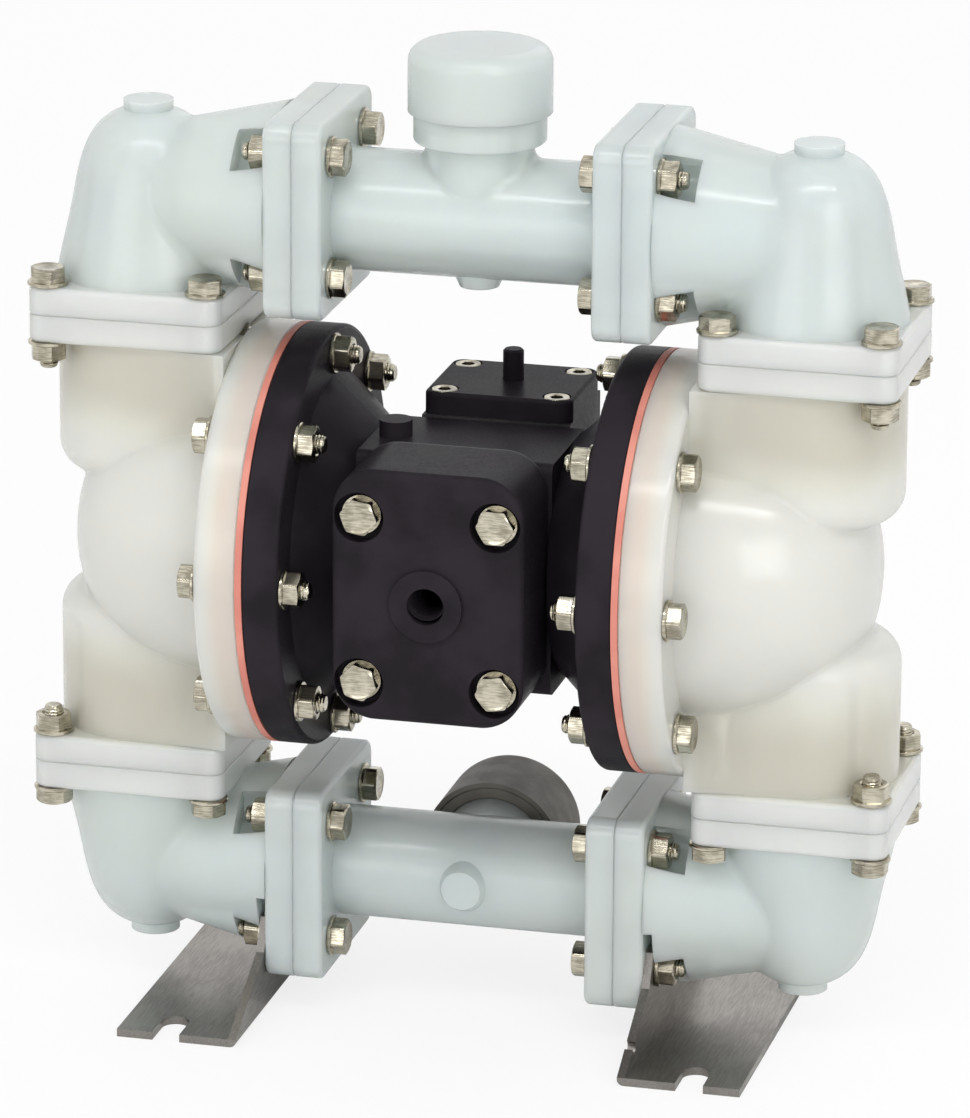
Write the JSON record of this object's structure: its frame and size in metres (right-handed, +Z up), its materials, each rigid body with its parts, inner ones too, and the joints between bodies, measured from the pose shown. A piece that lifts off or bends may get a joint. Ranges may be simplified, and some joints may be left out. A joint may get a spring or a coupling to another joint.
{
  "type": "air operated double diaphragm pump",
  "caption": "Air operated double diaphragm pump with translucent plastic chambers, elbows and pipes, a black centre block and steel feet.",
  "frame": {"origin": "middle of the footprint, on the feet's underside", "axes": "+X along the diaphragm rod, +Y to the rear (the suction port's side), +Z up"},
  "size_m": [0.2664, 0.128, 0.3001],
  "materials": {
    "natural_plastic": "translucent natural polypropylene, moulded, glossy",
    "seal_elastomer": "black moulded rubber",
    "diaphragm_elastomer": "red-pink elastomer",
    "ball_plastic": "white fluoropolymer, smooth",
    "black_plastic": "black glass-filled plastic, fine moulded grain",
    "grey_cap_plastic": "warm grey plastic",
    "stainless": "stainless steel, bright",
    "foot_steel": "plain steel sheet, satin",
    "rod_steel": "ground steel rod",
    "plate_metal": "machined aluminium",
    "bearing_plastic": "acetal, cream",
    "muffler_bronze": "sintered bronze"
  },
  "bodies": {
    "housing": {"center_housing": "black_plastic", "chamber_bolts": "stainless", "chamber_nuts": "stainless", "cover_bolts": "stainless", "cover_gasket": "seal_elastomer", "discharge_manifold": "natural_plastic", "elbow_bolts": "stainless", "elbow_nuts": "stainless", "exhaust_muffler": "muffler_bronze", "inlet_cover": "black_plastic", "left_diaphragm": "diaphragm_elastomer", "left_discharge_seat": "natural_plastic", "left_foot": "foot_steel", "left_inner_chamber": "black_plastic", "left_lower_elbow": "natural_plastic", "left_outer_chamber": "natural_plastic", "left_rod_bushing": "bearing_plastic", "left_rod_seal": "seal_elastomer", "left_suction_seat": "natural_plastic", "left_upper_elbow": "natural_plastic", "manifold_bolts": "stainless", "manifold_nuts": "stainless", "manifold_seals": "seal_elastomer", "pilot_sleeve": "bearing_plastic", "right_diaphragm": "diaphragm_elastomer", "right_discharge_seat": "natural_plastic", "right_foot": "foot_steel", "right_inner_chamber": "black_plastic", "right_lower_elbow": "natural_plastic", "right_outer_chamber": "natural_plastic", "right_rod_bushing": "bearing_plastic", "right_rod_seal": "seal_elastomer", "right_suction_seat": "natural_plastic", "right_upper_elbow": "natural_plastic", "seat_seals": "seal_elastomer", "suction_manifold": "natural_plastic", "valve_body": "black_plastic", "valve_bottom_cap": "black_plastic", "valve_cap_screws": "stainless", "valve_gasket": "seal_elastomer", "valve_mount_screws": "stainless", "valve_sleeve": "bearing_plastic", "valve_top_cap": "black_plastic"},
    "rod": {"diaphragm_rod": "rod_steel", "left_inner_plate": "plate_metal", "left_outer_plate": "black_plastic", "right_inner_plate": "plate_metal", "right_outer_plate": "black_plastic"},
    "valve_spool": {"main_spool": "plate_metal", "indicator_pin": "black_plastic"},
    "pilot": {"pilot_spool": "rod_steel"},
    "discharge_cap_body": {"discharge_cap": "natural_plastic"},
    "suction_cap_body": {"suction_cap": "grey_cap_plastic"},
    "left_discharge_ball_body": {"left_discharge_ball": "ball_plastic"},
    "left_suction_ball_body": {"left_suction_ball": "ball_plastic"},
    "right_discharge_ball_body": {"right_discharge_ball": "ball_plastic"},
    "right_suction_ball_body": {"right_suction_ball": "ball_plastic"}
  },
  "joints": [
    {"name": "rod_stroke", "type": "slide", "parent": "housing", "child": "rod", "axis": [1, 0, 0], "range_m": [-0.008, 0.008], "deforming": ["right_diaphragm", "left_diaphragm"]},
    {"name": "valve_shift", "type": "slide", "parent": "housing", "child": "valve_spool", "axis": [0, 0, 1], "range_m": [0, 0.007]},
    {"name": "pilot_shift", "type": "slide", "parent": "housing", "child": "pilot", "axis": [1, 0, 0], "range_m": [-0.0028, 0.0028]},
    {"name": "discharge_cap_lift", "type": "slide", "parent": "housing", "child": "discharge_cap_body", "axis": [0, 0, 1], "range_m": [0, 0.06]},
    {"name": "suction_cap_pull", "type": "slide", "parent": "housing", "child": "suction_cap_body", "axis": [0, 1, 0], "range_m": [0, 0.075]},
    {"name": "left_discharge_ball_lift", "type": "slide", "parent": "housing", "child": "left_discharge_ball_body", "axis": [0, 0, 1], "range_m": [0, 0.007]},
    {"name": "left_suction_ball_lift", "type": "slide", "parent": "housing", "child": "left_suction_ball_body", "axis": [0, 0, 1], "range_m": [0, 0.007]},
    {"name": "right_discharge_ball_lift", "type": "slide", "parent": "housing", "child": "right_discharge_ball_body", "axis": [0, 0, 1], "range_m": [0, 0.007]},
    {"name": "right_suction_ball_lift", "type": "slide", "parent": "housing", "child": "right_suction_ball_body", "axis": [0, 0, 1], "range_m": [0, 0.007]}
  ],
  "couplings": [
    {"joint": "pilot_shift", "follows": "rod_stroke", "ratio": 0.35}
  ]
}
